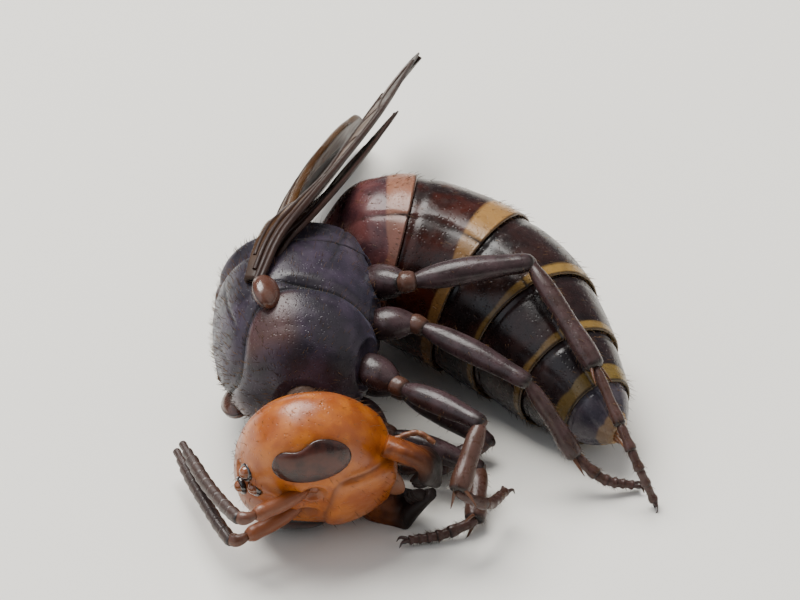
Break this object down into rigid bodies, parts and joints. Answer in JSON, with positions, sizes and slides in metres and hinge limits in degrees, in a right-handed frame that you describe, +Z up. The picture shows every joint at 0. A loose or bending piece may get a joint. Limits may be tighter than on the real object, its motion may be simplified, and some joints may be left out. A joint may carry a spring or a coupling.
{
  "type": "asian giant hornet",
  "caption": "Life-size Asian giant hornet lying curled on its side, wings laid back, legs drawn in, orange head and banded abdomen.",
  "frame": {"origin": "on the floor, under the middle of the hornet's box", "axes": "+Z up; the head points toward -Y, the belly and the curled abdomen toward +X, the wings toward +Y"},
  "size_m": [0.026, 0.0424, 0.0121],
  "materials": {
    "head_shell": "orange chitin, semi-gloss with fine pits",
    "eye": "dark brown, smooth gloss",
    "ocellus": "amber brown, glassy",
    "mandible": "orange brown, near black along the teeth",
    "mouthparts": "brown, satin",
    "scape": "orange brown, satin",
    "antenna_whip": "dark brown, matt",
    "thorax_shell": "near black brown chitin with short hair",
    "tegula": "red brown, satin",
    "abdomen_shell": "dark brown chitin banded with orange yellow",
    "sting": "brown, gloss",
    "wing": "smoky amber film on brown veins",
    "leg": "dark brown chitin with short bristles",
    "foot": "brown, satin"
  },
  "bodies": {
    "root": {"head": "head_shell", "eye_left": "eye", "eye_right": "eye", "ocellus_front": "ocellus", "ocellus_left": "ocellus", "ocellus_right": "ocellus", "mandible_left": "mandible", "mandible_right": "mandible", "mouthparts": "mouthparts", "antenna_left_scape": "scape", "antenna_left_whip": "antenna_whip", "antenna_right_scape": "scape", "antenna_right_whip": "antenna_whip", "thorax": "thorax_shell", "neck": "thorax_shell", "tegula_left": "tegula", "tegula_right": "tegula", "abdomen_1": "abdomen_shell", "abdomen_2": "abdomen_shell", "abdomen_3": "abdomen_shell", "abdomen_4": "abdomen_shell", "abdomen_5": "abdomen_shell", "abdomen_6": "abdomen_shell", "waist": "thorax_shell", "sting": "sting", "fore_wing_left": "wing", "hind_wing_left": "wing", "fore_wing_right": "wing", "hind_wing_right": "wing", "leg_fore_left_coxa": "leg", "leg_fore_left_femur": "leg", "leg_fore_left_tibia": "leg", "leg_fore_left_foot": "foot", "leg_fore_right_coxa": "leg", "leg_fore_right_femur": "leg", "leg_fore_right_tibia": "leg", "leg_fore_right_foot": "foot", "leg_middle_left_coxa": "leg", "leg_middle_left_femur": "leg", "leg_middle_left_tibia": "leg", "leg_middle_left_foot": "foot", "leg_middle_right_coxa": "leg", "leg_middle_right_femur": "leg", "leg_middle_right_tibia": "leg", "leg_middle_right_foot": "foot", "leg_hind_left_coxa": "leg", "leg_hind_left_femur": "leg", "leg_hind_left_tibia": "leg", "leg_hind_left_foot": "foot", "leg_hind_right_coxa": "leg", "leg_hind_right_femur": "leg", "leg_hind_right_tibia": "leg", "leg_hind_right_foot": "foot"}
  },
  "joints": []
}
